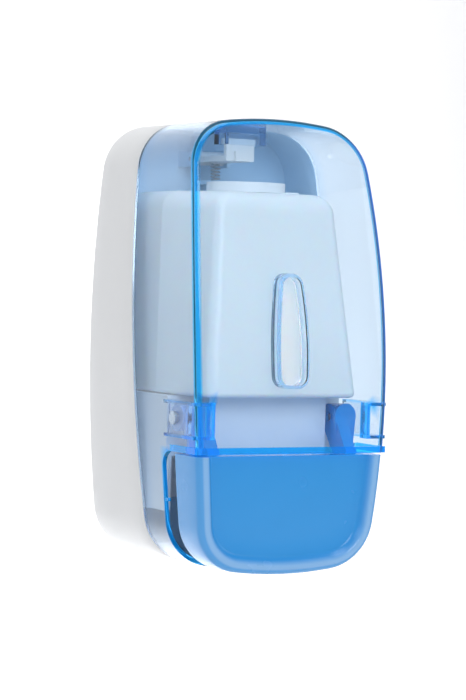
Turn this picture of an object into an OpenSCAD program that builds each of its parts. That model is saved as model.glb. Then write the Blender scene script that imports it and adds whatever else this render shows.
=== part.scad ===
// Wall mounted soap dispenser: a white housing on the wall, a clear tinted cover hinged at its foot,
// a push lever hung on the cover, and a refillable reservoir with a piston pump.
// Origin: centre of the back face. +Z is up, the front faces -Y, and "depth" is measured from the wall.

/* [Body] */
// Height of the body
body_h = 250; // [245:1:255]
// Width of the body at the wall
body_w = 132; // [130:1:134]
// Narrowing of the body for each millimetre of depth
taper = 0.089; // [0.08:0.001:0.095]
// Radius of the curve along each side
side_r = 884; // [860:1:920]
// Radius of the crown at the top
top_r = 238; // [225:1:250]
// Radius of the crown at the bottom
bottom_r = 228; // [215:1:240]
// Radius of the four corners seen from the front
corner_r = 29; // [26:1:32]
// Largest depth of the curved front
body_d = 122.3; // [121.5:0.1:123.5]
// Radius of the curved front
front_r = 594; // [570:1:620]
// Height at which the front is deepest
front_z = -52.5; // [-60:0.5:-45]
// Wall thickness of the shells
wall = 2.5; // [2.2:0.1:2.7]

/* [Housing and wall fixing] */
// Depth of the joint between housing and cover at mid height
joint_d = 50.2; // [49.5:0.1:51]
// Lean of the joint, in degrees
joint_lean = 5.4; // [5.0:0.1:5.8]
// Gap between housing and cover
joint_gap = 0.6; // [0.4:0.1:0.8]
// Spacing of the wall screws across
screw_x = 70; // [60:1:76]
// Spacing of the wall screws up and down
screw_z = 160; // [150:1:166]
// Radius of the wall screw holes
screw_hole_r = 2.5; // [2:0.1:3]

/* [Cover] */
// Height of the cover's lower front edge
cover_edge_z = -58; // [-59:0.1:-57.5]
// Depth of the cut-out that leaves room for the lever
cutout_d = 83.5; // [82.5:0.1:84]
// Height of the level window's middle
window_z = 8.5; // [6:0.5:11]
// Height of the level window
window_h = 59; // [56:1:62]
// Width of the level window
window_w = 17; // [15:0.5:19]
// How far the level window is set back
window_inset = 6.5; // [6:0.1:6.8]

/* [Lever] */
// Depth of the lever's rear edge
lever_d = 97; // [96:0.1:98]
// Depth of the lever's pivot
pivot_d = 91; // [90.5:0.1:91.5]
// Height of the lever's pivot
pivot_z = -40; // [-40.5:0.1:-39.5]
// Radius of the pivot pins
pivot_r = 2.5; // [2.2:0.1:2.8]
// Running clearance round the pins
run = 0.06; // [0.03:0.01:0.08]

/* [Reservoir] */
// Height of the reservoir's bottom
tank_z0 = -28.4; // [-28.5:0.1:-27.8]
// Height of the reservoir's top
tank_z1 = 84; // [83:0.5:84.5]
// Wall thickness of the reservoir
tank_wall = 2; // [1.6:0.1:2.2]
// Radius of the filler cap
cap_r = 22; // [21.5:0.1:22.5]

/* [Pump] */
// Depth of the pump's inlet and of its nozzle
outlet_d = 74; // [73.5:0.1:74.5]
// Height of the pump's axis
pump_z = -86; // [-86.5:0.1:-85.5]
// Radius of the pump's bore
bore_r = 8; // [7.8:0.1:8.2]
// Travel of the plunger
stroke = 7.3; // [7:0.1:7.5]

/* [Hidden] */

eps = 0.01;
big = 400;                       // larger than the object
slice_t = 0.02;                  // thickness of a slice that hull() joins
hinge_d = 62.3;                  // depth of the cover's hinge
hinge_z = -120.5;                // height of the cover's hinge
hinge_r = 3;                     // radius of its knuckles
hinge_pin_r = 1.5;               // radius of its pins
hinge_clear = 3.8;               // room in front of the hinge for the cover to swing
knuckle_x0 = 18.4;               // inner and outer ends of the cover's knuckles
knuckle_x1 = 24;
latch_z = 105;                   // height of the latch's pivot
latch_d = 14;                    // depth of the latch's pivot
latch_lug_x = 9.6;               // inner face of the lugs that hold it
shelf_z = -28.6;                 // top of the shelf that carries the reservoir
bracket_d = 79;                  // depth of the bracket's front
bracket_x = 54;                  // half width of the bracket
neck_r = 12;                     // radius of the reservoir's neck
neck_z = -44;                    // lower end of the neck
bore_d0 = 66;                    // depth of the pump chamber's rear wall
pump_front_d = 96;               // depth of the pump body's mouth
piston_d = 86;                   // depth of the piston's rear face
head_d = 108;                    // depth of the plunger's head
ear_x0 = 40;                     // inner and outer faces of the lever's ears
ear_x1 = 52.8;
lug_x0 = 53.3;                   // inner and outer faces of the cover's lugs
lug_x1 = 55.8;
rib_top_z = -30.4;               // height of the ribs that carry the lugs
rib_bottom_z = -50.3;
rib_t = 1.8;
lever_dish = 4.5;                // how far the lever's panel is set back
cap_d = 60;                      // depth of the filler cap's middle

// A flat shape in X and Z, pushed out from one depth to another
module in_depth(d0, d1) translate([0, -d0, 0]) rotate([90, 0, 0]) linear_extrude(d1 - d0) children();

// A flat shape in Y and Z, pushed out from one X to another
module across(x0, x1) translate([x0, 0, 0]) rotate([90, 0, 90]) linear_extrude(x1 - x0) children();

// A cylinder along X at a depth and height
module rod_x(r, x0, x1, d, z) translate([x0, -d, z]) rotate([0, 90, 0]) cylinder(r = r, h = x1 - x0, $fn = 48);

// A cylinder along the depth at an X and height
module rod_y(r, d0, d1, x, z) translate([x, -d0, z]) rotate([90, 0, 0]) cylinder(r = r, h = d1 - d0, $fn = 48);

// A cylinder upright at an X and depth
module rod_z(r, z0, z1, x, d) translate([x, -d, z0]) cylinder(r = r, h = z1 - z0, $fn = 48);

// A block between two corners given as X, depth and height
module block(x0, x1, d0, d1, z0, z1) translate([x0, -d1, z0]) cube([x1 - x0, d1 - d0, z1 - z0]);

// Both halves of something that is drawn at positive X
module both() {
    children();
    mirror([1, 0, 0]) children();
}

function body_width(d) = body_w - taper * d;
function front_depth(z) = body_d - (z - front_z) * (z - front_z) / (2 * front_r);

// Outline of the body seen from the front: four shallow arcs with rounded corners
module outline(w) {
    offset(r = corner_r, $fn = 64) offset(delta = -corner_r) intersection() {
        translate([w / 2 - side_r, 0]) circle(r = side_r, $fn = 180);
        translate([side_r - w / 2, 0]) circle(r = side_r, $fn = 180);
        translate([0, body_h / 2 - top_r]) circle(r = top_r, $fn = 180);
        translate([0, bottom_r - body_h / 2]) circle(r = bottom_r, $fn = 180);
    }
}

// The tapering body between two depths, shrunk by an inset on every side
module body_block(d0, d1, inset) hull() {
    in_depth(d0, d0 + slice_t) offset(delta = -inset) outline(body_width(d0));
    in_depth(d1 - slice_t, d1) offset(delta = -inset) outline(body_width(d1));
}

// All space behind the curved front, set back by an amount
module behind_front(back) translate([-big / 2, front_r - body_d, front_z])
    rotate([0, 90, 0]) cylinder(r = front_r - back, h = big, $fn = 360);

// All space behind the leaning joint plane, moved forwards by a gap
module behind_joint(gap) translate([0, -joint_d - gap, 0]) rotate([-joint_lean, 0, 0])
    translate([-big / 2, 0, -big / 2]) cube([big, big, big]);

// Seen from the side: the space that the lever needs below the cover's front
module lever_space() across(-big / 2, big / 2) {
    corner = 9;
    translate([-cutout_d - corner, cover_edge_z - corner]) circle(r = corner, $fn = 64);
    translate([-big / 2, -big / 2]) square([big / 2 - cutout_d - corner, big / 2 + cover_edge_z]);
    translate([-big / 2, -big / 2]) square([big / 2 - cutout_d, big / 2 + cover_edge_z - corner]);
}

// Outline of the level window: wider low down, with rounded ends
module window_shape(grow) translate([0, window_z]) offset(r = grow, $fn = 48)
    offset(r = 5, $fn = 48) offset(delta = -5) intersection() {
        translate([window_w / 2 - 260, -12]) circle(r = 260, $fn = 360);
        translate([260 - window_w / 2, -12]) circle(r = 260, $fn = 360);
        square([window_w, window_h], center = true);
    }

// A helical spring along Z, swept as a tube by two loops
module spring(r, wire, height, turns) {
    steps = 16;
    sides = 8;
    rings = turns * steps;
    rise = height - 2 * wire;
    function ring_point(i, j) = let (a = 360 * i / steps, b = 360 * j / sides)
        [(r + wire * cos(b)) * cos(a), (r + wire * cos(b)) * sin(a), wire + rise * i / rings + wire * sin(b)];
    points = [for (i = [0:rings]) for (j = [0:sides - 1]) ring_point(i, j)];
    skin = [for (i = [0:rings - 1]) for (j = [0:sides - 1]) let (k = (j + 1) % sides)
        [i * sides + j, i * sides + k, (i + 1) * sides + k, (i + 1) * sides + j]];
    first = [for (j = [sides - 1:-1:0]) j];
    last = [for (j = [0:sides - 1]) rings * sides + j];
    polyhedron(points = points, faces = concat([first], skin, [last]), convexity = 10);
}

// ---- Housing, fixed to the wall ----

module rear_housing() color("white") {
    boss_r = 7;
    difference() {
        union() {
            difference() {
                body_block(0, 70, 0);
                body_block(3, 71, wall);
                front_of_joint();
            }
            for (x = [-1, 1], z = [-1, 1]) rod_y(boss_r, 3 - eps, 5, x * screw_x / 2, z * screw_z / 2);
            both() block(latch_lug_x, latch_lug_x + 2.5, 3 - eps, 19, latch_z - 5, latch_z + 5);
            block(-5, 5, 3 - eps, 27, latch_z - 15, latch_z - 13);
            both() block(12, 18, 55, hinge_d, hinge_z - 2, hinge_z + hinge_r);
            both() rod_x(hinge_r, 12, 18, hinge_d, hinge_z);
            both() block(bracket_x - 12, bracket_x - 4, 3 - eps, 9, -62, -54);
            both() block(50, 52, 3 - eps, 7, -20, 84);
        }
        for (x = [-1, 1], z = [-1, 1]) rod_y(screw_hole_r, -1, 6, x * screw_x / 2, z * screw_z / 2);
        both() rod_x(1.5, 0, 20, latch_d, latch_z);
        both() rod_x(hinge_pin_r, 11, 19, hinge_d, hinge_z);
        both() rod_x(hinge_r + 0.5, knuckle_x0 - 0.39, knuckle_x1 + 0.4, hinge_d, hinge_z);
        both() rod_y(1.2, 3.5, 10, bracket_x - 8, -58);
    }
}

// Everything in front of the joint plane
module front_of_joint() translate([0, -joint_d, 0]) rotate([-joint_lean, 0, 0])
    translate([-big / 2, -big, -big / 2]) cube([big, big, big]);

// White inner frame that carries the reservoir and hides the pump's upper end
module pump_bracket() color("gainsboro") {
    hole_r = 17;
    sheet = 2;
    apron_x = 37;
    apron_d = 92.6;
    apron_z = -62;
    side_z = -92;
    top_z = shelf_z - eps;
    difference() {
        union() {
            block(-bracket_x, bracket_x, 9.2, bracket_d, shelf_z - wall, shelf_z);
            block(-apron_x, apron_x, bracket_d - eps, apron_d, shelf_z - wall, shelf_z);
            both() block(bracket_x - sheet, bracket_x, 9.2, bracket_d, side_z, top_z);
            block(-bracket_x, bracket_x, 9.2, 9.2 + sheet, side_z, top_z);
            both() block(apron_x - sheet, bracket_x, bracket_d - sheet, bracket_d, apron_z, top_z);
            both() block(apron_x - sheet, apron_x, bracket_d - sheet, apron_d, apron_z, top_z);
            block(-apron_x, apron_x, apron_d - sheet, apron_d, apron_z, top_z);
        }
        rod_z(hole_r, -60, 0, 0, outlet_d);
        both() rod_y(1.7, 5, 15, bracket_x - 8, -58);
    }
}

// Screws that hold the bracket to the housing
module bracket_screws() color("silver") both() difference() {
    union() {
        rod_y(1.2, 4, 11.2, bracket_x - 8, -58);
        rod_y(3, 11.2, 13, bracket_x - 8, -58);
    }
    block(bracket_x - 10, bracket_x - 6, 12.2, 14, -58.4, -57.6);
    block(bracket_x - 8.4, bracket_x - 7.6, 12.2, 14, -60, -56);
}

// Two short pins that join the housing's knuckles and the cover's
module cover_hinge_pins() color("silver") both() rod_x(hinge_pin_r, 12, knuckle_x1, hinge_d, hinge_z);

// Hook that holds the cover shut; the key pushes its nose down
module latch_tongue() color("white") {
    difference() {
        union() {
            rod_x(4, -9, 9, latch_d, latch_z);
            block(-9, 9, latch_d, 52, latch_z - 2.5, latch_z + 0.5);
            block(-9, 9, 49, 52, latch_z - 2.5, 115);
            block(-4, 4, 49, 54, latch_z - 2.5, latch_z + 3);
        }
        rod_x(1.5 + run, -10, 10, latch_d, latch_z);
    }
}

module latch_pin() color("silver") rod_x(1.5, -12, 12, latch_d, latch_z);

// Spring under the tongue, standing on the housing's small ledge
module latch_spring() color("silver") translate([0, -23, latch_z - 13]) spring(2.6, 0.4, 10.4, 5);

// ---- Cover ----

module front_cover() color([0.55, 0.75, 0.92, 0.45]) {
    difference() {
        union() {
            difference() {
                intersection() {
                    body_block(34, 134, 0);
                    behind_front(0);
                }
                intersection() {
                    body_block(34, 134, wall);
                    behind_front(wall);
                }
                behind_joint(joint_gap);
            }
            intersection() {
                union() {
                    cover_edge_bead();
                    cover_ribs();
                    latch_keeper();
                    window_sleeve();
                }
                behind_front(1);
            }
            both() block(knuckle_x0, knuckle_x1, hinge_d, hinge_d + 12, hinge_z - 2, hinge_z + hinge_r);
            both() rod_x(hinge_r, knuckle_x0, knuckle_x1, hinge_d, hinge_z);
        }
        lever_space();
        block(-10, 10, 66, 90, -130, -118);
        difference() {
            block(-46, 46, 50, hinge_d + hinge_clear, -130, hinge_z);
            both() rod_x(hinge_r, knuckle_x0, knuckle_x1, hinge_d, hinge_z);
        }
        in_depth(90, 140) window_shape(0);
        both() rod_x(hinge_pin_r + run, 18, 25, hinge_d, hinge_z);
        both() rod_x(pivot_r, lug_x0 - 1, lug_x1 + 1, pivot_d, pivot_z);
    }
    lever_stops();
}

// Thickened lower edge of the cover's front and sides
module cover_edge_bead() {
    bead_h = 3.5;
    block(-60, 60, front_depth(cover_edge_z) - wall - 1.2, front_depth(cover_edge_z) - 1, cover_edge_z,
          cover_edge_z + bead_h);
    both() block(56.5, 60, cutout_d + 9, front_depth(cover_edge_z) - 1, cover_edge_z, cover_edge_z + bead_h);
}

// Short tabs on the edge of the lever's opening, which stop the lever at the end of its press
module lever_stops() both() block(56, 57.6, cutout_d - 3, cutout_d + 3.5, -86, -86 + rib_t);

// Ribs in the lower corners and the lugs that carry the lever
module cover_ribs() both() {
    for (z = [rib_top_z - rib_t, rib_bottom_z]) {
        block(49, 60.5, 112, 121, z, z + rib_t);
        block(lug_x0, 60.5, pivot_d - 7, 121, z, z + rib_t);
    }
    block(48, 48 + rib_t, 112, 121, rib_bottom_z, rib_top_z);
    block(lug_x0, lug_x1, pivot_d - 7, 106, rib_bottom_z, rib_top_z);
}

// Box under the cover's top that the latch hooks into
module latch_keeper() difference() {
    block(-13, 13, 45, 58, 111.5, 123.5);
    block(-10, 10, 48.5, 55, 110, 118);
}

// Sleeve round the level window, from the front to the pane
module window_sleeve() difference() {
    intersection() {
        in_depth(100, 121) window_shape(1.8);
        difference() {
            behind_front(1);
            behind_front(window_inset + 2.2);
        }
    }
    in_depth(99, 122) window_shape(0);
}

module level_window() color([0.95, 0.97, 1, 0.5]) intersection() {
    in_depth(95, 125) window_shape(-0.05);
    difference() {
        behind_front(window_inset);
        behind_front(window_inset + 2);
    }
}

module lever_pivot_pins() color("silver") both() {
    rod_x(pivot_r, ear_x0 + 1, lug_x1, pivot_d, pivot_z);
    rod_x(pivot_r + 1.2, lug_x1, lug_x1 + 1.5, pivot_d, pivot_z);
}

// ---- Lever ----

module push_lever() color("dodgerblue") {
    top_z = cover_edge_z - 1.3;
    difference() {
        union() {
            difference() {
                intersection() {
                    body_block(lever_d, 135, 0.3);
                    behind_front(0.2);
                    block(-big / 2, big / 2, lever_d, big / 2, -big / 2, top_z);
                }
                intersection() {
                    body_block(lever_d - 1, 134, wall + 0.3);
                    behind_front(lever_dish + wall);
                    block(-big / 2, big / 2, 0, big / 2, -big / 2, top_z - wall);
                }
                lever_dish_cut();
            }
            both() rod_x(7.5, ear_x0, ear_x1, pivot_d, pivot_z);
            both() across(ear_x0, ear_x0 + 7) ear_side();
            rod_y(4, head_d + 4.3, 116, 0, pump_z);
            translate([0, -head_d - 4.3, pump_z]) sphere(r = 4, $fn = 48);
        }
        both() rod_x(pivot_r + run, ear_x0 - 1, ear_x1 + 1, pivot_d, pivot_z);
        block(-8, 8, lever_d - 1, lever_d + 7, -130, -110);
    }
}

// The dished panel in the lever's face, open at the top
module lever_dish_cut() difference() {
    in_depth(100, 140) offset(delta = -8) outline(body_width(115));
    behind_front(lever_dish + 0.2);
}

// Side view of the arm from the ear down to the lever's face
module ear_side() polygon([[-pivot_d + 6, pivot_z - 3], [-pivot_d - 5, pivot_z + 3], [-pivot_d - 13, -62],
                           [-117, -62], [-117, -96], [-lever_d - 4, -66], [-pivot_d + 2, -60]]);

// ---- Reservoir ----

// One corner of the reservoir, from its place at the bottom to its place at the top, with a rounded shoulder
module tank_post(x0, x1, d0, d1, inset, side) {
    corner = 7;
    edge = 3;
    shoulder = 12;
    translate([x0, -d0, tank_z0 + inset]) cylinder(r1 = corner - edge - inset, r2 = corner - inset, h = edge, $fn = 32);
    for (a = [0, 30, 60, 90]) let (step = (shoulder - inset) * (1 - cos(a)) * 0.8)
        translate([x1 - sign(x1) * step, side * step - d1, tank_z1 - shoulder - slice_t + (shoulder - inset) * sin(a)])
            cylinder(r = corner - inset, h = slice_t, $fn = 32);
}

module tank_solid(inset) hull() for (s = [-1, 1]) {
    tank_post(s * 44, s * 44, 16, 16, inset, -1);
    tank_post(s * 45, s * 45, 60, 60, inset, 0);
    tank_post(s * 41, s * 32, 103.5, 90, inset, 1);
}

module reservoir_tank() color("whitesmoke") difference() {
    union() {
        difference() {
            tank_solid(0);
            tank_solid(tank_wall);
        }
        rod_z(19.4, tank_z1 - 2, tank_z1 + 2.4, 0, cap_d);
        rod_z(neck_r, neck_z, tank_z0 + 1, 0, outlet_d);
    }
    rod_z(17, tank_z1 - 6, tank_z1 + 4, 0, cap_d);
    rod_z(9, neck_z - 1, tank_z0 + 6, 0, outlet_d);
}

module reservoir_cap() color("white") difference() {
    union() {
        rod_z(cap_r, tank_z1 + 0.4, tank_z1 + 6, 0, cap_d);
        block(0, cap_r + 9, cap_d - 6, cap_d + 6, tank_z1 + 0.4, tank_z1 + 1.6);
    }
    difference() {
        rod_z(20, tank_z1, tank_z1 + 3.2, 0, cap_d);
        rod_z(16.6, tank_z1 - 1, tank_z1 + 4, 0, cap_d);
    }
    rod_z(15, tank_z1 - 1, tank_z1 + 3.2, 0, cap_d);
    rod_z(0.8, tank_z1, tank_z1 + 8, 0, cap_d);
}

module cap_seal() color("dimgray") difference() {
    rod_z(19.3, tank_z1 + 2.4, tank_z1 + 3.2, 0, cap_d);
    rod_z(17.2, tank_z1 + 2, tank_z1 + 4, 0, cap_d);
}

module outlet_nut() color("white") difference() {
    grips = 18;
    rod_z(15, neck_z - 4, neck_z + 9, 0, outlet_d);
    rod_z(neck_r, neck_z - 2, neck_z + 10, 0, outlet_d);
    rod_z(9.6, neck_z - 5, neck_z, 0, outlet_d);
    for (i = [0:grips - 1]) translate([0, -outlet_d, 0]) rotate([0, 0, i * 360 / grips])
        translate([15.4, 0, neck_z - 5]) cylinder(r = 1.1, h = 15, $fn = 24);
}

module outlet_seal() color("dimgray") difference() {
    rod_z(11.6, neck_z - 1, neck_z, 0, outlet_d);
    rod_z(9, neck_z - 2, neck_z + 1, 0, outlet_d);
}

// ---- Pump ----

module pump_body() color("gainsboro") difference() {
    union() {
        rod_z(11.8, neck_z - 2, neck_z - 1, 0, outlet_d);
        rod_z(9.4, pump_z + 5, neck_z - 1, 0, outlet_d);
        rod_y(11, bore_d0 - 3, pump_front_d, 0, pump_z);
        rod_z(4.5, -116, pump_z - 5, 0, outlet_d);
    }
    rod_z(5, pump_z + 16, neck_z, 0, outlet_d);
    rod_z(2.2, pump_z, pump_z + 17, 0, outlet_d);
    rod_y(bore_r, bore_d0, pump_front_d + 1, 0, pump_z);
    rod_z(1.8, -110, pump_z, 0, outlet_d);
    rod_z(3, -117, -108, 0, outlet_d);
}

module pump_plunger() color("white") difference() {
    union() {
        rod_y(bore_r - 0.05, piston_d, piston_d + 6, 0, pump_z);
        rod_y(4, piston_d + 5, head_d - 2, 0, pump_z);
        rod_y(9, head_d - 3, head_d, 0, pump_z);
    }
    difference() {
        rod_y(bore_r + 1, piston_d + 2, piston_d + 4, 0, pump_z);
        rod_y(bore_r - 1.6, piston_d + 1, piston_d + 5, 0, pump_z);
    }
}

module plunger_seal() color("dimgray") difference() {
    rod_y(bore_r - 0.02, piston_d + 2, piston_d + 4, 0, pump_z);
    rod_y(bore_r - 1.6, piston_d + 1, piston_d + 5, 0, pump_z);
}

module pump_spring() color("silver") translate([0, -bore_d0, pump_z]) rotate([90, 0, 0])
    spring(5.6, 0.5, piston_d - bore_d0, 6);

// The inlet valve's ball rests on the foot of its chamber and closes upwards against its seat
module inlet_ball() color("silver") translate([0, -outlet_d, pump_z + 18.2]) sphere(r = 3, $fn = 48);

module inlet_seat() color("dimgray") difference() {
    rod_z(5, pump_z + 23, pump_z + 26, 0, outlet_d);
    rod_z(2.2, pump_z + 22, pump_z + 27, 0, outlet_d);
}

module outlet_valve() color("ivory") difference() {
    rod_z(3, -117, -109, 0, outlet_d);
    rod_z(1.6, -116, -108, 0, outlet_d);
    block(-1.4, 1.4, outlet_d - 0.2, outlet_d + 0.2, -118, -115);
}

module nozzle_tip() color("white") difference() {
    rod_z(5.8, -118.4, -108, 0, outlet_d);
    rod_z(4.5, -116, -107, 0, outlet_d);
    rod_z(3.05, -119, -115, 0, outlet_d);
}

rear_housing();
pump_bracket();
bracket_screws();
cover_hinge_pins();
latch_tongue();
latch_pin();
latch_spring();
front_cover();
level_window();
lever_pivot_pins();
push_lever();
reservoir_tank();
reservoir_cap();
cap_seal();
outlet_nut();
outlet_seal();
pump_body();
pump_plunger();
plunger_seal();
pump_spring();
inlet_ball();
inlet_seat();
outlet_valve();
nozzle_tip();
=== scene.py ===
"""Looks of a wall mounted soap dispenser: a white housing, a clear tinted cover, a blue push lever, a milky
reservoir and the pump behind it, each built round the CAD frame and riding on its body.

Sizes in the helpers are in millimetres. "Depth" is the distance from the wall, so depth = -Y.
"""

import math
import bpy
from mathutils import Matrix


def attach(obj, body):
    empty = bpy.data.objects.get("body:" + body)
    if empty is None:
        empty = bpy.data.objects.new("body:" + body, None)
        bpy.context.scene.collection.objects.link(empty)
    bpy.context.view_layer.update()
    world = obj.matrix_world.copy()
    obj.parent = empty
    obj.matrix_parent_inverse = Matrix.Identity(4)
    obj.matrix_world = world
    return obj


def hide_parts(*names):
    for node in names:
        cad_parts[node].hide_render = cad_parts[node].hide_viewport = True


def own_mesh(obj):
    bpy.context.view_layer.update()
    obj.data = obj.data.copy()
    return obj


bl_info = {
    "name": "Wall mounted soap dispenser",
    "version": (1, 0, 0),
    "blender": (4, 5, 0),
    "location": "View3D > Sidebar > Dispenser",
    "description": "Builds the looks of a wall mounted soap dispenser round its CAD frame",
    "category": "Object",
}

import bpy
import numpy as np
from bpy.props import FloatProperty, FloatVectorProperty, PointerProperty
from mathutils import Matrix, Vector

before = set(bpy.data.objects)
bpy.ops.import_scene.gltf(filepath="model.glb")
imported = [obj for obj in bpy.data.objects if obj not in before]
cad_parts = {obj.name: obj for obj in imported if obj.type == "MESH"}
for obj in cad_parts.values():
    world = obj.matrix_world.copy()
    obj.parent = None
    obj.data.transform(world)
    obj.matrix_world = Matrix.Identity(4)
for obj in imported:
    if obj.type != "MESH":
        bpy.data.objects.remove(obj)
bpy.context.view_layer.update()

MM = 0.001


# ---- Sizes and colours ----


def length(name, description, default):
    return FloatProperty(name=name, description=description, default=default * MM, unit="LENGTH", subtype="DISTANCE")


def colour(name, description, default):
    return FloatVectorProperty(name=name, description=description, default=default, subtype="COLOR", size=3,
                               min=0.0, max=1.0)


class DispenserSizes(bpy.types.PropertyGroup):
    """Sizes that shape the moulded pieces"""

    wall: length("Wall", "Wall thickness of the housing, cover and lever", 2.5)
    edge_r: length("Edge radius", "Rounding where the cover's side turns into its front", 4.0)
    back_edge_r: length("Back edge radius", "Rounding of the housing's edge on the wall", 1.2)
    dish: length("Dish depth", "How far the lever's panel is set back behind its border", 4.5)
    lever_edge_r: length("Lever edge radius", "Rounding of the lever's outer edge", 4.5)
    tank_edge_r: length("Reservoir edge radius", "Rounding of the reservoir's bottom edge", 3.0)
    shoulder_r: length("Shoulder radius", "Rounding of the reservoir's shoulder", 12.0)
    lip: length("Lip", "Small bevel along the free edges of the mouldings", 0.35)


class DispenserColours(bpy.types.PropertyGroup):
    """Colours of the finishes"""

    housing: colour("Housing", "Glossy white of the housing", (0.80, 0.81, 0.82))
    # Painted light: the housing's inner faces are painted blue for the blue light behind the tinted cover; the plastic
    # itself is white.
    housing_inside_painted_light: colour("Housing inside", "White in the blue light behind the cover", (0.62, 0.82, 0.99))
    # The bracket is white plastic; its slight blue is painted light, the blue of the light behind the tinted cover.
    bracket: colour("Bracket", "White of the inner bracket", (0.86, 0.89, 0.93))
    tank: colour("Reservoir", "Milky white of the reservoir", (0.94, 0.95, 0.96))
    cap: colour("Caps", "White of the filler cap and the outlet nut", (0.84, 0.87, 0.90))
    lever: colour("Lever", "Blue of the push lever", (0.022, 0.32, 0.78))
    # Painted highlight: a paler blue on the lever's sides and border stands in for its soft highlight and for the glow
    # of light through the thin plastic there.
    lever_painted_highlight: colour("Lever border", "Paler blue of the lever's sides and border", (0.24, 0.50, 0.86))
    cover: colour("Cover", "Surface tint of the clear cover", (0.985, 0.992, 1.0))
    # Painted shade: the deeper blue along the cover's edges and ribs stands in for the darker blue of light running
    # edge-on through the plastic.
    cover_edge_painted_shade: colour("Cover edge", "Deeper blue along the cover's edges and ribs", (0.02, 0.42, 0.80))
    cover_depth: colour("Cover depth", "What the cover's plastic lets through", (0.0, 0.50, 0.90))
    window: colour("Window", "Surface tint of the level window", (0.96, 0.98, 1.0))
    rubber: colour("Seals", "Dark rubber of the seals", (0.03, 0.03, 0.032))
    silicone: colour("Valve", "Pale silicone of the outlet valve", (0.66, 0.65, 0.60))
    steel: colour("Steel", "Pins, screws, ball and springs", (0.56, 0.57, 0.59))


def sizes():
    return bpy.context.scene.dispenser_sizes


def colours():
    return bpy.context.scene.dispenser_colours


# ---- The body's outline and its rings ----

BODY_H, BODY_W, TAPER = 250.0, 132.0, 0.089
SIDE_R, TOP_R, BOTTOM_R, CORNER_R = 884.0, 238.0, 228.0, 29.0
BODY_D, FRONT_R, FRONT_Z = 122.3, 594.0, -52.5
JOINT_D, JOINT_SLOPE, JOINT_GAP = 50.2, math.tan(math.radians(5.4)), 0.6


def front_depth(z):
    return BODY_D - FRONT_R + (FRONT_R**2 - (z - FRONT_Z) ** 2) ** 0.5


def joint_depth(z):
    return JOINT_D - JOINT_SLOPE * z


def crossing(ax, az, ra, bx, bz, rb, sign):
    """Where two circles cross at positive x, above (sign 1) or below (sign -1)"""
    dx, dz = bx - ax, bz - az
    d = math.hypot(dx, dz)
    along = (ra * ra - rb * rb + d * d) / (2 * d)
    across = math.sqrt(ra * ra - along * along)
    found = []
    for s in (1, -1):
        x = ax + along * dx / d - s * across * dz / d
        z = az + along * dz / d + s * across * dx / d
        if x > 0 and z * sign > 0:
            found.append((x, z))
    return found[0]


def sweep(cx, cz, r, a0, a1, steps):
    """Points on an arc with their outward directions, without the last one"""
    for i in range(steps):
        a = a0 + (a1 - a0) * i / steps
        yield (cx + r * math.cos(a), cz + r * math.sin(a), math.cos(a), math.sin(a))


def outline(width):
    """The body seen from the front, as points with outward directions, anticlockwise from the bottom middle"""
    side_x = width / 2 - SIDE_R
    top_z, bottom_z = BODY_H / 2 - TOP_R, BOTTOM_R - BODY_H / 2
    ux, uz = crossing(side_x, 0, SIDE_R - CORNER_R, 0, top_z, TOP_R - CORNER_R, 1)
    lx, lz = crossing(side_x, 0, SIDE_R - CORNER_R, 0, bottom_z, BOTTOM_R - CORNER_R, -1)
    low, low_side = math.atan2(lz - bottom_z, lx), math.atan2(lz, lx - side_x)
    up_side, up = math.atan2(uz, ux - side_x), math.atan2(uz - top_z, ux)
    half = list(sweep(0, bottom_z, BOTTOM_R, -math.pi / 2, low, 10))
    half += sweep(lx, lz, CORNER_R, low, low_side, 14)
    half += sweep(side_x, 0, SIDE_R, low_side, up_side, 28)
    half += sweep(ux, uz, CORNER_R, up_side, up, 14)
    half += sweep(0, top_z, TOP_R, up, math.pi / 2, 10)
    top = (0.0, BODY_H / 2, 0.0, 1.0)
    return half + [top] + [(-x, z, -nx, nz) for x, z, nx, nz in reversed(half[1:])]


BACK, FRONT = outline(BODY_W), outline(BODY_W - TAPER * BODY_D)


def ring(depth, inset):
    """One ring round the tapering body; depth is a function of height, inset a distance inwards"""
    points = []
    for back, front in zip(BACK, FRONT):
        z = back[1]
        for _ in range(3):
            t = depth(z) / BODY_D
            x, z, nx, nz = (b + (f - b) * t for b, f in zip(back, front))
            x, z = x - inset * nx, z - inset * nz
        points.append((x, -depth(z), z))
    return points


def face_rings(last, depth, steps):
    """Rings that close a face from an outline to its middle, each point at its own depth"""
    for i in range(1, steps + 1):
        f = 1 - i / steps
        yield [(x * f, -depth(z * f), z * f) for x, _, z in last]


def between(a, b, t):
    return lambda z: a(z) + (b(z) - a(z)) * t


# ---- Making and joining meshes ----


def active(piece):
    bpy.ops.object.select_all(action="DESELECT")
    piece.select_set(True)
    bpy.context.view_layer.objects.active = piece


def wrap(name, rings):
    """A closed skin over rings of equally many points: a grid rolled up, its seam and poles merged"""
    n, m = len(rings[0]), len(rings) - 1
    bpy.ops.object.select_all(action="DESELECT")
    bpy.ops.mesh.primitive_grid_add(x_subdivisions=n, y_subdivisions=m, size=1)
    piece = bpy.context.object
    piece.name = piece.data.name = name
    for v in piece.data.vertices:
        j, i = divmod(v.index, n + 1)
        v.co = Vector(rings[j][i % n]) * MM
    bpy.ops.object.mode_set(mode="EDIT")
    bpy.ops.mesh.select_all(action="SELECT")
    bpy.ops.mesh.remove_doubles(threshold=1e-6)
    bpy.ops.mesh.normals_make_consistent(inside=False)
    bpy.ops.object.mode_set(mode="OBJECT")
    return piece


def block(x0, x1, d0, d1, z0, z1):
    bpy.ops.object.select_all(action="DESELECT")
    bpy.ops.mesh.primitive_cube_add(size=1, location=Vector(((x0 + x1) / 2, -(d0 + d1) / 2, (z0 + z1) / 2)) * MM,
                                    scale=Vector((x1 - x0, d1 - d0, z1 - z0)) * MM)
    bpy.ops.object.transform_apply(location=True, rotation=True, scale=True)
    return bpy.context.object


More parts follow.
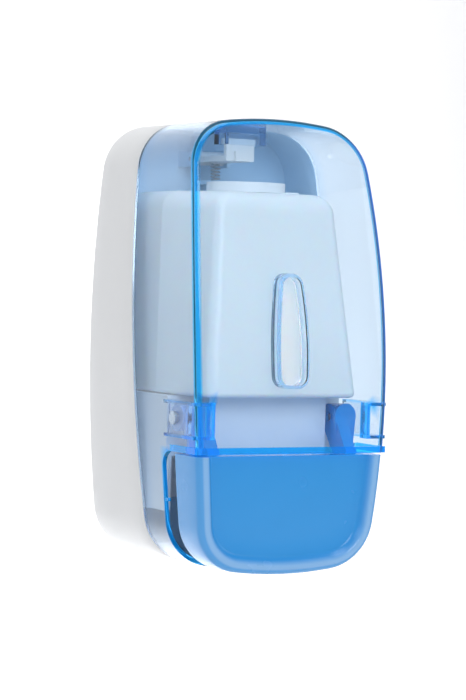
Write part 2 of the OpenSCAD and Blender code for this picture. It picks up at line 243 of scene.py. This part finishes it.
def rod(r, start, end, sides=40):
    """A cylinder between two points given as X, depth and height"""
    a, b = (Vector((p[0], -p[1], p[2])) * MM for p in (start, end))
    bpy.ops.object.select_all(action="DESELECT")
    bpy.ops.mesh.primitive_cylinder_add(vertices=sides, radius=r * MM, depth=(b - a).length, location=(a + b) / 2,
                                        rotation=(b - a).to_track_quat("Z", "Y").to_euler())
    bpy.ops.object.transform_apply(location=True, rotation=True, scale=True)
    return bpy.context.object


def ball(r, middle, sides=40):
    bpy.ops.object.select_all(action="DESELECT")
    bpy.ops.mesh.primitive_uv_sphere_add(segments=sides, ring_count=sides // 2, radius=r * MM,
                                         location=Vector((middle[0], -middle[1], middle[2])) * MM)
    bpy.ops.object.transform_apply(location=True, rotation=True, scale=True)
    return bpy.context.object


def side_plate(x0, x1, points):
    """A convex outline of depth and height, pushed across from one X to another"""
    d, z = (sum(p[i] for p in points) / len(points) for i in (0, 1))
    middle = [(0, -d, z)] * len(points)
    rings = [[(x, py, pz) for _, py, pz in middle] if cap else [(x, -pd, pz) for pd, pz in points]
             for x, cap in ((x0, True), (x0, False), (x1, False), (x1, True))]
    return wrap("plate", rings)


def prism(name, points, d0, d1):
    """A flat outline of X and height, pushed from one depth to another"""
    cx = sum(p[0] for p in points) / len(points)
    cz = sum(p[1] for p in points) / len(points)
    rings = [[(cx, -d, cz)] * len(points) if cap else [(x, -d, z) for x, z in points]
             for d, cap in ((d0, True), (d0, False), (d1, False), (d1, True))]
    return wrap(name, rings)


def combine(piece, tool, how):
    mod = piece.modifiers.new("combine", "BOOLEAN")
    mod.operation, mod.solver, mod.object = how, "EXACT", tool
    active(piece)
    bpy.ops.object.modifier_apply(modifier=mod.name)
    bpy.data.objects.remove(tool, do_unlink=True)


def add(piece, *tools):
    for tool in tools:
        combine(piece, tool, "UNION")


def cut(piece, *tools):
    for tool in tools:
        combine(piece, tool, "DIFFERENCE")


def keep(piece, tool):
    combine(piece, tool, "INTERSECT")


def inset_of(points):
    """How far inside the body's outline each point is, given as an array of X, depth and height in millimetres"""
    back, front = np.array(BACK), np.array(FRONT)
    t = (points[:, 1] / BODY_D)[:, None]
    x = back[:, 0] + (front[:, 0] - back[:, 0]) * t
    z = back[:, 1] + (front[:, 1] - back[:, 1]) * t
    nx = back[:, 2] + (front[:, 2] - back[:, 2]) * t
    nz = back[:, 3] + (front[:, 3] - back[:, 3]) * t
    return np.min((x - points[:, :1]) * nx + (z - points[:, 2:3]) * nz, axis=1)


def mark(piece, name, rule):
    """A share from 0 to 1 at every point of the mesh, from a rule on X, depth, height and inset"""
    points = np.array([v.co for v in piece.data.vertices]).reshape(-1, 3) / MM * (1, -1, 1)
    share = np.clip(rule(points[:, 0], points[:, 1], points[:, 2], inset_of(points)), 0, 1)
    layer = piece.data.attributes.new(name, "FLOAT", "POINT")
    layer.data.foreach_set("value", share.astype(np.float32))


def finish_piece(piece, material, body, lip=None, angle=38):
    """Bevels the free edges, smooths, names the finish and sets what the piece moves with"""
    active(piece)
    if lip:
        mod = piece.modifiers.new("lip", "BEVEL")
        mod.width, mod.segments, mod.limit_method = lip, 2, "ANGLE"
        mod.angle_limit, mod.use_clamp_overlap, mod.harden_normals = math.radians(angle), True, False
        bpy.ops.object.modifier_apply(modifier=mod.name)
    bpy.ops.object.shade_smooth_by_angle(angle=math.radians(angle))
    piece.data.materials.clear()
    piece.data.materials.append(material)
    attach(piece, body)


# ---- Finishes ----


def math_node(nodes, links, mode, a, b):
    """The result of one sum on two sockets or numbers"""
    node = nodes.new("ShaderNodeMath")
    node.operation = mode
    for socket, value in zip(node.inputs, (a, b)):
        if isinstance(value, (int, float)):
            socket.default_value = value
        else:
            links.new(value, socket)
    return node.outputs[0]


def finish_group():
    """Cloudiness, unevenness of the gloss and a fine grain, as a moulded or drawn surface has them"""
    group = bpy.data.node_groups.get("moulded_surface")
    if group:
        return group
    group = bpy.data.node_groups.new("moulded_surface", "ShaderNodeTree")
    new = group.interface.new_socket
    new(name="Colour", in_out="INPUT", socket_type="NodeSocketColor")
    for name, value in (("Clouding", 0.03), ("Cloud size", 45.0), ("Roughness", 0.3), ("Unevenness", 0.08),
                        ("Grain size", 900.0), ("Grain", 0.05)):
        socket = new(name=name, in_out="INPUT", socket_type="NodeSocketFloat")
        socket.default_value = value
    new(name="Colour", in_out="OUTPUT", socket_type="NodeSocketColor")
    new(name="Roughness", in_out="OUTPUT", socket_type="NodeSocketFloat")
    new(name="Normal", in_out="OUTPUT", socket_type="NodeSocketVector")
    nodes, links = group.nodes, group.links
    given, out = nodes.new("NodeGroupInput"), nodes.new("NodeGroupOutput")
    place = nodes.new("ShaderNodeTexCoord")
    cloud, grain = nodes.new("ShaderNodeTexNoise"), nodes.new("ShaderNodeTexNoise")
    for noise, detail, scale in ((cloud, 3.0, "Cloud size"), (grain, 2.0, "Grain size")):
        noise.inputs["Detail"].default_value = detail
        links.new(place.outputs["Object"], noise.inputs["Vector"])
        links.new(given.outputs[scale], noise.inputs["Scale"])
    sum_of = lambda mode, a, b: math_node(nodes, links, mode, a, b)
    swing = sum_of("SUBTRACT", cloud.outputs["Fac"], 0.5)
    shade = sum_of("ADD", sum_of("MULTIPLY", swing, given.outputs["Clouding"]), 1.0)
    tint = nodes.new("ShaderNodeVectorMath")
    tint.operation = "SCALE"
    links.new(given.outputs["Colour"], tint.inputs[0])
    links.new(shade, tint.inputs["Scale"])
    links.new(tint.outputs[0], out.inputs["Colour"])
    gloss = sum_of("ADD", sum_of("MULTIPLY", swing, given.outputs["Unevenness"]), given.outputs["Roughness"])
    links.new(gloss, out.inputs["Roughness"])
    bump = nodes.new("ShaderNodeBump")
    bump.inputs["Distance"].default_value = 0.0002
    links.new(given.outputs["Grain"], bump.inputs["Strength"])
    links.new(grain.outputs["Fac"], bump.inputs["Height"])
    links.new(bump.outputs["Normal"], out.inputs["Normal"])
    return group


def surface(name, rgb, roughness, clouding=0.04, cloud=45.0, unevenness=0.08, grain=0.05, grain_size=900.0,
            marked=None, glow=None, bar=None, **plain):
    """A procedural material; plain values go on the shader's own sockets"""
    material = bpy.data.materials.get(name)
    if material:
        return material
    material = bpy.data.materials.new(name)
    material.use_nodes = True
    nodes, links = material.node_tree.nodes, material.node_tree.links
    shader = nodes["Principled BSDF"]
    group = nodes.new("ShaderNodeGroup")
    group.node_tree = finish_group()
    for socket, value in (("Colour", (*rgb, 1)), ("Clouding", clouding), ("Cloud size", cloud),
                          ("Roughness", roughness), ("Unevenness", unevenness), ("Grain", grain),
                          ("Grain size", grain_size)):
        group.inputs[socket].default_value = value
    # Painted light and shade: a second colour blended in by a mesh attribute, with an optional band in object space
    # added to that mask.
    if marked:
        share, blend = nodes.new("ShaderNodeAttribute"), nodes.new("ShaderNodeMix")
        share.attribute_name, blend.data_type = marked[0], "RGBA"
        next(i for i in blend.inputs if i.name == "A" and i.type == "RGBA").default_value = (*rgb, 1)
        next(i for i in blend.inputs if i.name == "B" and i.type == "RGBA").default_value = (*marked[1], 1)
        share = share.outputs["Fac"]
        if bar:
            place, split = nodes.new("ShaderNodeTexCoord"), nodes.new("ShaderNodeSeparateXYZ")
            links.new(place.outputs["Object"], split.inputs[0])
            inside = math_node(nodes, links, "GREATER_THAN", split.outputs["Z"], bar[0])
            for axis, limit in (("Z", bar[1]), ("Y", bar[2])):
                within = math_node(nodes, links, "LESS_THAN", split.outputs[axis], limit)
                inside = math_node(nodes, links, "MULTIPLY", inside, within)
            share = math_node(nodes, links, "MAXIMUM", share, inside)
        links.new(share, blend.inputs["Factor"])
        links.new(next(o for o in blend.outputs if o.type == "RGBA"), group.inputs["Colour"])
        # Painted glow: the masked part gives off light though it is no lamp.
        if glow:
            lit = nodes.new("ShaderNodeVectorMath")
            lit.operation = "SCALE"
            lit.inputs[0].default_value = glow
            links.new(share, lit.inputs["Scale"])
            links.new(lit.outputs[0], shader.inputs["Emission Color"])
            shader.inputs["Emission Strength"].default_value = 1.0
    links.new(group.outputs["Colour"], shader.inputs["Base Color"])
    links.new(group.outputs["Roughness"], shader.inputs["Roughness"])
    links.new(group.outputs["Normal"], shader.inputs["Normal"])
    for socket, value in plain.items():
        shader.inputs[socket.replace("_", " ")].default_value = value
    return material


def clear(name, rgb, depth_rgb=None, density=0.0, shadow=(1, 1, 1), **more):
    """A clear plastic: it lets light through to what is behind it, and its thickness tints it"""
    if bpy.data.materials.get(name):
        return bpy.data.materials[name]
    material = surface(name, rgb, clouding=0.01, unevenness=0.02, grain=0.01, IOR=1.49, Transmission_Weight=1.0,
                       **more)
    nodes, links = material.node_tree.nodes, material.node_tree.links
    shader, out = nodes["Principled BSDF"], nodes["Material Output"]
    path, through, mix = (nodes.new(kind) for kind in
                          ("ShaderNodeLightPath", "ShaderNodeBsdfTransparent", "ShaderNodeMixShader"))
    through.inputs["Color"].default_value = (*shadow, 1)
    links.new(path.outputs["Is Shadow Ray"], mix.inputs[0])
    links.new(shader.outputs[0], mix.inputs[1])
    links.new(through.outputs[0], mix.inputs[2])
    links.new(mix.outputs[0], out.inputs["Surface"])
    if depth_rgb is not None:
        absorb = nodes.new("ShaderNodeVolumeAbsorption")
        absorb.inputs["Color"].default_value = (*depth_rgb, 1)
        absorb.inputs["Density"].default_value = density
        links.new(absorb.outputs[0], out.inputs["Volume"])
    return material


def housing_finish():
    # The inner faces take the painted blue light through the inside mask.
    return surface("housing_plastic", colours().housing, 0.34, marked=("inside", colours().housing_inside_painted_light),
                   Specular_IOR_Level=0.25)


def bracket_finish():
    return surface("bracket_plastic", colours().bracket, 0.42)


def tank_finish():
    return surface("tank_plastic", colours().tank, 0.32, clouding=0.08, cloud=28.0, Subsurface_Weight=0.3,
                   Subsurface_Scale=0.004)


def cap_finish():
    return surface("cap_plastic", colours().cap, 0.3)


def lever_finish():
    # The border mask carries the painted highlight colour.
    return surface("lever_plastic", colours().lever, 0.26, clouding=0.06, marked=("border", colours().lever_painted_highlight),
                   Coat_Weight=0.3, Coat_Roughness=0.1)


def cover_finish():
    # Painted shade and painted glow: deeper blue and a faint blue emission on the edge mask and on a band along the
    # cover's lower edge above the lever.
    return clear("cover_plastic", colours().cover, colours().cover_depth, 60.0, roughness=0.03,
                 marked=("edge", colours().cover_edge_painted_shade), glow=(0.0, 0.085, 0.17), bar=(-0.0592, -0.0545, -0.092))


def window_finish():
    return clear("window_plastic", colours().window, roughness=0.04)


def rubber_finish():
    return surface("seal_rubber", colours().rubber, 0.62, clouding=0.2, grain=0.2)


def silicone_finish():
    return surface("valve_silicone", colours().silicone, 0.5, clouding=0.06)


def steel_finish():
    return surface("plain_steel", colours().steel, 0.28, clouding=0.1, unevenness=0.15, cloud=400.0, grain_size=3000.0,
                   Metallic=1.0)


# ---- The pieces ----


class DISPENSER_OT_housing(bpy.types.Operator):
    """Builds the white housing with its bosses, lugs and hinge knuckles"""

    bl_idname = "dispenser.housing"
    bl_label = "Housing"

    def execute(self, context):
        s = sizes()
        wall, r = s.wall / MM, s.back_edge_r / MM
        floor_d = 3.0
        flat, floor = (lambda z: 0.0), (lambda z: floor_d)
        edge = ring(flat, r)
        rings = list(face_rings(edge, flat, 8))[::-1] + [edge]
        for a in (30, 60, 90):
            rings.append(ring(lambda z, a=a: r * (1 - math.cos(math.radians(a))), r * (1 - math.sin(math.radians(a)))))
        for t in (0.25, 0.5, 0.75, 1):
            rings.append(ring(between(lambda z: r, joint_depth, t), 0))
        for t in (1, 0.66, 0.33, 0):
            rings.append(ring(between(floor, joint_depth, t), wall))
        rings += face_rings(rings[-1], floor, 8)
        piece = wrap("housing_moulding", rings)
        for x in (-1, 1):
            for z in (-1, 1):
                add(piece, rod(7, (x * 35, floor_d - 0.01, z * 80), (x * 35, 5, z * 80)))
        for x in (-1, 1):
            add(piece, block(*sorted((x * 9.6, x * 12.1)), floor_d - 0.01, 19, 100, 110),
                block(*sorted((x * 12, x * 18)), 55, 62.3, -122.5, -117.5),
                rod(3, (x * 12, 62.3, -120.5), (x * 18, 62.3, -120.5)),
                block(*sorted((x * 42, x * 50)), floor_d - 0.01, 9, -62, -54),
                block(*sorted((x * 50, x * 52)), floor_d - 0.01, 7, -20, 84))
        add(piece, block(-5, 5, floor_d - 0.01, 27, 90, 92))
        for x in (-1, 1):
            for z in (-1, 1):
                cut(piece, rod(2.5, (x * 35, -1, z * 80), (x * 35, 6, z * 80)))
            cut(piece, rod(1.5, (x * 8, 14, 105), (x * 14, 14, 105)),
                rod(1.5, (x * 11, 62.3, -120.5), (x * 19, 62.3, -120.5)),
                rod(3.5, (x * 18.01, 62.3, -120.5), (x * 24.4, 62.3, -120.5)),
                rod(1.2, (x * 46, 3.5, -58), (x * 46, 10, -58)))
        # The inside mask picks the inner faces that take the painted blue light.
        mark(piece, "inside", lambda x, d, z, inset: (inset > 1.3) & (d > 2))
        finish_piece(piece, housing_finish(), "housing", s.lip)
        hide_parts("rear_housing")
        return {"FINISHED"}


def window_outline(grow):
    """The level window seen from the front: wider low down, with rounded ends"""
    mid_z, half_h, half_w, bend, r = 8.5, 29.5, 8.5, 260.0, 5.0

    def half_width(z):
        return half_w - bend + math.sqrt(bend**2 - (z + 12) ** 2)

    right = []
    for i in range(7):
        a = math.radians(-90 + 15 * i)
        right.append((half_width(r - half_h) - r + r * math.cos(a), r - half_h + r * math.sin(a), a))
    for i in range(1, 8):
        z = r - half_h + (2 * half_h - 2 * r) * i / 8
        right.append((half_width(z), z, 0.0))
    for i in range(7):
        a = math.radians(15 * i)
        right.append((half_width(half_h - r) - r + r * math.cos(a), half_h - r + r * math.sin(a), a))
    right = [(x + grow * math.cos(a), z + mid_z + grow * math.sin(a)) for x, z, a in right]
    return right + [(-x, z) for x, z in reversed(right)]


def shell_band(name, outer, back_near, back_far):
    """A flat outline between two surfaces that follow the curved front"""
    count = len(outer)
    cx = sum(p[0] for p in outer) / count
    cz = sum(p[1] for p in outer) / count
    rings = []
    for back, fractions in ((back_near, (0, 0.25, 0.5, 0.75, 1)), (back_far, (1, 0.75, 0.5, 0.25, 0))):
        for f in fractions:
            ring_points = [(cx + (x - cx) * f, cz + (z - cz) * f) for x, z in outer]
            rings.append([(x, back - front_depth(z), z) for x, z in ring_points])
    return wrap(name, rings)


class DISPENSER_OT_cover(bpy.types.Operator):
    """Builds the clear cover with its rounded front edge, ribs, lugs, window sleeve and latch keeper"""

    bl_idname = "dispenser.cover"
    bl_label = "Cover"

    def execute(self, context):
        s = sizes()
        wall, r = s.wall / MM, s.edge_r / MM
        inner_r = r - wall
        back = lambda z: joint_depth(z) + JOINT_GAP

        def skin(inset, radius):
            """Rings from the middle of the front, over the rounded edge, to the joint"""
            front = lambda z: front_depth(z) - inset
            edge = ring(front, inset + radius)
            rings = list(face_rings(edge, front, 12))[::-1] + [edge]
            for a in range(15, 91, 15):
                k = math.radians(a)
                rings.append(ring(lambda z, k=k: front(z) - radius * (1 - math.cos(k)),
                                  inset + radius * (1 - math.sin(k))))
            for t in (0.2, 0.4, 0.6, 0.8, 1):
                rings.append(ring(between(lambda z: front(z) - radius, back, t), inset))
            return rings

        piece = wrap("cover_moulding", skin(0, r) + skin(wall, inner_r)[::-1])
        cut(piece, block(-90, 90, 92.5, 150, -150, -58), block(-90, 90, 83.5, 150, -150, -67),
            rod(9, (-90, 92.5, -67), (90, 92.5, -67), 64))
        lugs = []
        for x in (-1, 1):
            for z in (-32.2, -50.3):
                lugs.append(block(*sorted((x * 49, x * 60.5)), 112, 119.3, z, z + 1.8))
                lugs.append(block(*sorted((x * 53.3, x * 60.5)), 84, 119.2, z + 0.01, z + 1.79))
            lugs.append(block(*sorted((x * 48, x * 49.8)), 112, 119.4, -50.3, -30.4))
            lugs.append(block(*sorted((x * 53.3, x * 55.8)), 84, 106, -48.6, -32.1))
            lugs.append(block(*sorted((x * 56.5, x * 60)), 92.5, 119.1, -58, -54.6))
            lugs.append(block(*sorted((x * 56, x * 57.6)), 80.5, 87, -86, -84.2))
        add(piece, *lugs)
        add(piece, block(-60, 60, 118.2, 120.8, -58, -54.5))
        keeper = block(-13, 13, 45, 58, 111.5, 123.2)
        cut(keeper, block(-10, 10, 48.5, 55, 110, 118))
        add(piece, keeper)
        add(piece, shell_band("sleeve", window_outline(1.8), 1.0, 8.7))
        cut(piece, prism("window_hole", window_outline(0), 90, 140))
        room = block(-46, 46, 45, 66.1, -130, -120.5)
        for x in (-1, 1):
            arm = block(*sorted((x * 18.4, x * 24)), 62.3, 74.3, -122.5, -117.5)
            add(arm, rod(3, (x * 18.4, 62.3, -120.5), (x * 24, 62.3, -120.5)))
            add(piece, arm)
            cut(room, rod(2.99, (x * 18.41, 62.3, -120.5), (x * 23.99, 62.3, -120.5)))
        cut(piece, room, block(-10, 10, 66, 90, -130, -118))
        for x in (-1, 1):
            cut(piece, rod(1.56, (x * 18, 62.3, -120.5), (x * 25, 62.3, -120.5)),
                rod(2.5, (x * 52.3, 91, -40), (x * 56.8, 91, -40)))

        def edge(x, d, z, inset):
            """Where the painted deeper blue and painted glow go: the rounded rim, the ribs, the cut edges, the stops,
            a little of the sleeve and of the edge on the joint
            """
            rim = (inset < r - 0.2) & (front_depth(z) - d < r - 0.2)
            side_cut = (np.abs(d - 83.5) < 0.2) & (z < -57)
            curve = (np.abs(np.hypot(d - 92.5, z + 67) - 9) < 0.2) & (d < 92.6)
            tie = (np.abs(x) > 47.9) & (np.abs(x) < 61) & (inset > wall + 0.2) & (z > -50.4) & (z < -30.2)
            corner = tie & ((z > -32.05) | (z < -48.65) | ((np.abs(x) < 49.9) & (d > 111)))
            joint = np.abs(d - joint_depth(z) - JOINT_GAP) < 0.2
            stop = (np.abs(z + 85.1) < 1) & (d > 83)
            sleeve = (np.abs(x) < 12) & (z > -24) & (z < 41) & (d < front_depth(z) - wall - 0.2)
            return 1.0 * (rim | side_cut | curve | corner | stop) + 0.15 * joint + 0.25 * sleeve

        mark(piece, "edge", edge)
        finish_piece(piece, cover_finish(), "cover", None)
        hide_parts("front_cover")
        return {"FINISHED"}


class DISPENSER_OT_lever(bpy.types.Operator):
    """Builds the push lever: a hollow moulding with a dished panel, a rounded border and two arms"""

    bl_idname = "dispenser.lever"
    bl_label = "Lever"

    def execute(self, context):
        s = sizes()
        wall, r, dish = s.wall / MM, s.lever_edge_r / MM, s.dish / MM
        rear_d, top_z, gap = 97.0, -59.3, 0.3

        def form(name, inset, rear, radius, top):
            """The outside of the lever, or its hollow, cut off level at the top"""
            front = lambda z: front_depth(z) - 0.2 - inset
            flat = lambda z: rear
            first = ring(flat, gap + inset)
            rings = list(face_rings(first, flat, 2))[::-1] + [first]
            for t in (0.5, 1):
                rings.append(ring(between(flat, lambda z: front(z) - radius, t), gap + inset))
            for a in range(15, 91, 15):
                k = math.radians(a)
                rings.append(ring(lambda z, k=k: front(z) - radius * (1 - math.sin(k)),
                                  gap + inset + radius * (1 - math.cos(k))))
            start = gap + inset + radius
            for share in (0.0, 0.12, 0.3, 0.5, 0.7, 0.88, 1.0):
                drop = dish * (1 - math.cos(math.pi * share)) / 2
                rings.append(ring(lambda z, drop=drop: front(z) - drop, start + 0.8 + 5.2 * share))
            rings += face_rings(rings[-1], lambda z: front(z) - dish, 10)
            piece = wrap(name, rings)
            cut(piece, block(-90, 90, 0, 200, top, 200))
            return piece

        piece = form("lever_moulding", 0, rear_d, r, top_z)
        cut(piece, form("hollow", wall, rear_d - 1, max(r - wall, 0.5), top_z - wall))
        for x in (-1, 1):
            x0, x1 = sorted((x * 40, x * 47))
            arm = side_plate(x0, x1, [(84, -43), (97, -37), (113, -62.5), (98, -62.5)])
            add(arm, rod(7.5, (x * 40, 91, -40), (x * 52.8, 91, -40), 48),
                side_plate(x0 + 0.01, x1 - 0.01, [(98, -62), (115, -62), (115, -90), (103, -68)]))
            ear = [(x * (45.75 + 6.75 * math.cos(a)), 6.75 * math.sin(a) - 38.75)
                   for a in (math.radians(k) for k in range(0, 181, 15))]
            add(arm, prism("ear", ear + [(x * 41, -62.5), (x * 50.5, -62.5)], 97.4, 100))
            add(piece, arm)
            cut(piece, rod(2.56, (x * 39, 91, -40), (x * 53.8, 91, -40)))
        add(piece, rod(4, (0, 112.3, -86), (0, 116, -86)), ball(4, (0, 112.3, -86)))
        cut(piece, block(-8, 8, rear_d - 1, rear_d + 7, -130, -110))

        def border(x, d, z, inset):
            """Where the painted highlight goes: the sides a little, the raised border fully, the panel not at all"""
            return np.where(inset < 3, 0.25, 1.0) * (1 - np.clip((inset - 5.5) / 3, 0, 1)) * (d > 96)

        mark(piece, "border", border)
        finish_piece(piece, lever_finish(), "lever", s.lip)
        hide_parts("push_lever")
        return {"FINISHED"}


def round_plan(corners, r, z):
    """Horizontal section round corner centres, each with an arc of the same radius"""
    count, points = len(corners), []
    for i, (x, d) in enumerate(corners):
        (px, pd), (qx, qd) = corners[i - 1], corners[(i + 1) % count]
        a0 = math.atan2(-(d - pd), x - px) - math.pi / 2
        a1 = math.atan2(-(qd - d), qx - x) - math.pi / 2
        while a1 < a0 - 1e-9:
            a1 += 2 * math.pi
        for k in range(7):
            a = a0 + (a1 - a0) * k / 6
            points.append((x + r * math.cos(a), -d + r * math.sin(a), z))
    return points


class DISPENSER_OT_reservoir(bpy.types.Operator):
    """Builds the milky reservoir with its filler collar and its outlet neck"""

    bl_idname = "dispenser.reservoir"
    bl_label = "Reservoir"

    def execute(self, context):
        s = sizes()
        z0, z1, corner, wall, e, shoulder = -28.4, 84.0, 7.0, 2.0, s.tank_edge_r / MM, s.shoulder_r / MM

        def form(name, inset):
            low, r = z0 + inset, corner - inset

            def section(z, radius, step=0.0):
                """A level cut; step draws the corners in towards the middle, as on the shoulder"""
                t = min(1, (z - z0) / (z1 - shoulder - z0))
                x, d = 41 - 9 * t - step, 103.5 - 13.5 * t - step
                rear = [(44 - step, 16 + step), (step - 44, 16 + step), (step - 45, 60)]
                return round_plan(rear + [(-x, d), (x, d), (45 - step, 60)], radius, z)

            rings = [section(low + e * (1 - math.cos(a)), r - e * (1 - math.sin(a)))
                     for a in (math.radians(k) for k in (0, 22.5, 45, 67.5, 90))]
            rings += [section(low + e + (z1 - shoulder - low - e) * t, r) for t in (0.25, 0.5, 0.75, 1)]
            reach = shoulder - inset
            rings += [section(z1 - shoulder + reach * math.sin(a), r, reach * (1 - math.cos(a)) * 0.8)
                      for a in (math.radians(k) for k in range(10, 91, 10))]
            middle = lambda z: [(0, -58, z)] * len(rings[0])
            return wrap(name, [middle(low)] + rings + [middle(z1 - inset)])

        piece = form("reservoir_moulding", 0)
        cut(piece, form("reservoir_hollow", wall))
        add(piece, rod(19.4, (0, 60, z1 - 2), (0, 60, z1 + 2.4), 64), rod(12, (0, 74, -44), (0, 74, z0 + 1), 48))
        cut(piece, rod(17, (0, 60, z1 - 6), (0, 60, z1 + 4), 64), rod(9, (0, 74, -45), (0, 74, z0 + 6), 48))
        finish_piece(piece, tank_finish(), "reservoir", s.lip)
        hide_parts("reservoir_tank")
        return {"FINISHED"}


class DISPENSER_OT_springs(bpy.types.Operator):
    """Builds the pump's return spring and the latch's spring, each riding on its body"""

    bl_idname = "dispenser.springs"
    bl_label = "Springs"

    def execute(self, context):
        for node, body, joint, base, axis, r, wire, height, turns, left in (
            ("pump_spring", "reservoir", "plunger_slide", (0, 66, -86), (0, -1, 0), 5.6, 0.5, 20.0, 6, 0.63),
            ("latch_spring", "housing", "latch_press", (0, 23, 92), (0, 0, 1), 2.6, 0.4, 10.4, 5, 0.9),
        ):
            steps, sides, rings = 24 * turns, 8, []
            turn = Vector(axis).to_track_quat("Z", "Y").to_matrix()
            start = Vector((base[0], -base[1], base[2]))
            for i in range(steps + 1):
                a = 2 * math.pi * turns * i / steps
                z = wire + (height - 2 * wire) * i / steps
                place = lambda rr, zz, a=a: tuple(start + turn @ Vector((rr * math.cos(a), rr * math.sin(a), zz)))
                loop = [place(r + wire * math.cos(b), z + wire * math.sin(b))
                        for b in (2 * math.pi * k / sides for k in range(sides))]
                if i == 0:
                    rings.append([place(r, z)] * sides)
                rings.append(loop)
                if i == steps:
                    rings.append([place(r, z)] * sides)
            piece = wrap(node + "_coil", rings)
            finish_piece(piece, steel_finish(), body, None, 60)
            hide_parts(node)
            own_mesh(piece)
        return {"FINISHED"}


class DISPENSER_OT_finishes(bpy.types.Operator):
    """Gives every CAD piece that stays its finish"""

    bl_idname = "dispenser.finishes"
    bl_label = "Finishes"

    def execute(self, context):
        finishes = {
            bracket_finish: ("pump_bracket", "pump_body", "pump_plunger", "nozzle_tip"),
            housing_finish: ("latch_tongue",),
            cap_finish: ("reservoir_cap", "outlet_nut"),
            window_finish: ("level_window",),
            rubber_finish: ("cap_seal", "outlet_seal", "plunger_seal", "inlet_seat"),
            silicone_finish: ("outlet_valve",),
            steel_finish: ("bracket_screws", "cover_hinge_pins", "latch_pin", "lever_pivot_pins", "inlet_ball"),
        }
        for make, names in finishes.items():
            for name in names:
                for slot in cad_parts[name].material_slots:
                    slot.material = make()
        return {"FINISHED"}


# ---- Stage ----


class DISPENSER_OT_stage(bpy.types.Operator):
    """Adds the pale floor with its curved rise, the soft lights, the surroundings and the camera"""

    bl_idname = "dispenser.stage"
    bl_label = "Stage"

    def execute(self, context):
        scene = context.scene
        scene.view_settings.view_transform = "Standard"
        scene.cycles.max_bounces = scene.cycles.transmission_bounces = 24
        scene.cycles.transparent_max_bounces = 16
        profile = [(-3.0, -0.45), (0.8, -0.45)]
        profile += [(0.8 + 1.2 * math.sin(math.radians(a)), 0.75 - 1.2 * math.cos(math.radians(a)))
                    for a in range(10, 91, 10)]
        profile += [(2.0, 3.0)]
        bpy.ops.object.select_all(action="DESELECT")
        bpy.ops.mesh.primitive_grid_add(x_subdivisions=1, y_subdivisions=len(profile) - 1, size=1)
        floor = bpy.context.object
        floor.name = "floor"
        for v in floor.data.vertices:
            j, i = divmod(v.index, 2)
            v.co = ((-4, 4)[i], *profile[j])
        bpy.ops.object.shade_smooth()
        pale = bpy.data.materials.new("pale_floor")
        pale.use_nodes = True
        shader = pale.node_tree.nodes["Principled BSDF"]
        shader.inputs["Base Color"].default_value = (0.93, 0.93, 0.94, 1)
        shader.inputs["Roughness"].default_value = 0.9
        shader.inputs["Emission Color"].default_value = (1, 1, 1, 1)
        shader.inputs["Emission Strength"].default_value = 0.05
        floor.data.materials.append(pale)

        world = bpy.data.worlds.new("surroundings")
        world.use_nodes = True
        world.node_tree.nodes["Background"].inputs["Color"].default_value = (0.97, 0.985, 1, 1)
        world.node_tree.nodes["Background"].inputs["Strength"].default_value = 0.46
        scene.world = world
        for name, place, aim, size, power in (
            ("key", (-0.5, -2.1, 1.0), (0, -0.06, 0), 1.2, 13),
            ("side", (-2.0, -0.6, 0.9), (0, -0.06, 0), 1.2, 3.5),
            ("fill", (1.6, -1.2, 0.5), (0, -0.06, 0), 1.4, 4),
            ("top", (0.0, -0.3, 1.6), (0, -0.06, 0), 1.2, 6),
            ("backdrop", (0.0, 0.5, 0.4), (0.3, 2.5, 0.0), 1.6, 26),
        ):
            light = bpy.data.lights.new(name, "AREA")
            light.shape, light.size, light.energy = "DISK", size, power
            lamp = bpy.data.objects.new(name, light)
            scene.collection.objects.link(lamp)
            lamp.location = place
            lamp.rotation_euler = (Vector(aim) - Vector(place)).to_track_quat("-Z", "Y").to_euler()

        camera = bpy.data.objects.new("camera", bpy.data.cameras.new("camera"))
        scene.collection.objects.link(camera)
        azimuth, height, roll, distance = (math.radians(-29.23), math.radians(1.718), math.radians(1.692), 1.323)
        target = Vector((0, -0.06, 0))
        away = Vector((math.sin(azimuth) * math.cos(height), -math.cos(azimuth) * math.cos(height), math.sin(height)))
        turn = away.to_track_quat("Z", "Y").to_matrix().to_4x4() @ Matrix.Rotation(roll, 4, "Z")
        camera.matrix_world = Matrix.Translation(target + away * distance) @ turn
        camera.data.sensor_width = 36
        camera.data.lens = 120.2
        camera.data.shift_x, camera.data.shift_y = -0.0111, -0.0104
        scene.camera = camera
        return {"FINISHED"}


class DISPENSER_PT_panel(bpy.types.Panel):
    """Lists the pieces and their sizes"""

    bl_idname = "DISPENSER_PT_panel"
    bl_label = "Soap dispenser"
    bl_space_type = "VIEW_3D"
    bl_region_type = "UI"
    bl_category = "Dispenser"

    def draw(self, context):
        for group in (context.scene.dispenser_sizes, context.scene.dispenser_colours):
            for name in group.__annotations__:
                self.layout.prop(group, name)
        for operator in OPERATORS:
            self.layout.operator(operator.bl_idname)


OPERATORS = (DISPENSER_OT_stage, DISPENSER_OT_housing, DISPENSER_OT_cover, DISPENSER_OT_lever,
             DISPENSER_OT_reservoir, DISPENSER_OT_springs, DISPENSER_OT_finishes)
CLASSES = (DispenserSizes, DispenserColours, *OPERATORS, DISPENSER_PT_panel)


def register():
    for kind in CLASSES:
        bpy.utils.register_class(kind)
    bpy.types.Scene.dispenser_sizes = PointerProperty(type=DispenserSizes)
    bpy.types.Scene.dispenser_colours = PointerProperty(type=DispenserColours)


def unregister():
    del bpy.types.Scene.dispenser_sizes
    del bpy.types.Scene.dispenser_colours
    for kind in reversed(CLASSES):
        bpy.utils.unregister_class(kind)


def main():
    register()
    bpy.ops.dispenser.stage()
    bpy.ops.dispenser.housing()
    bpy.ops.dispenser.cover()
    bpy.ops.dispenser.lever()
    bpy.ops.dispenser.reservoir()
    bpy.ops.dispenser.springs()
    bpy.ops.dispenser.finishes()


if __name__ == "__main__":
    main()
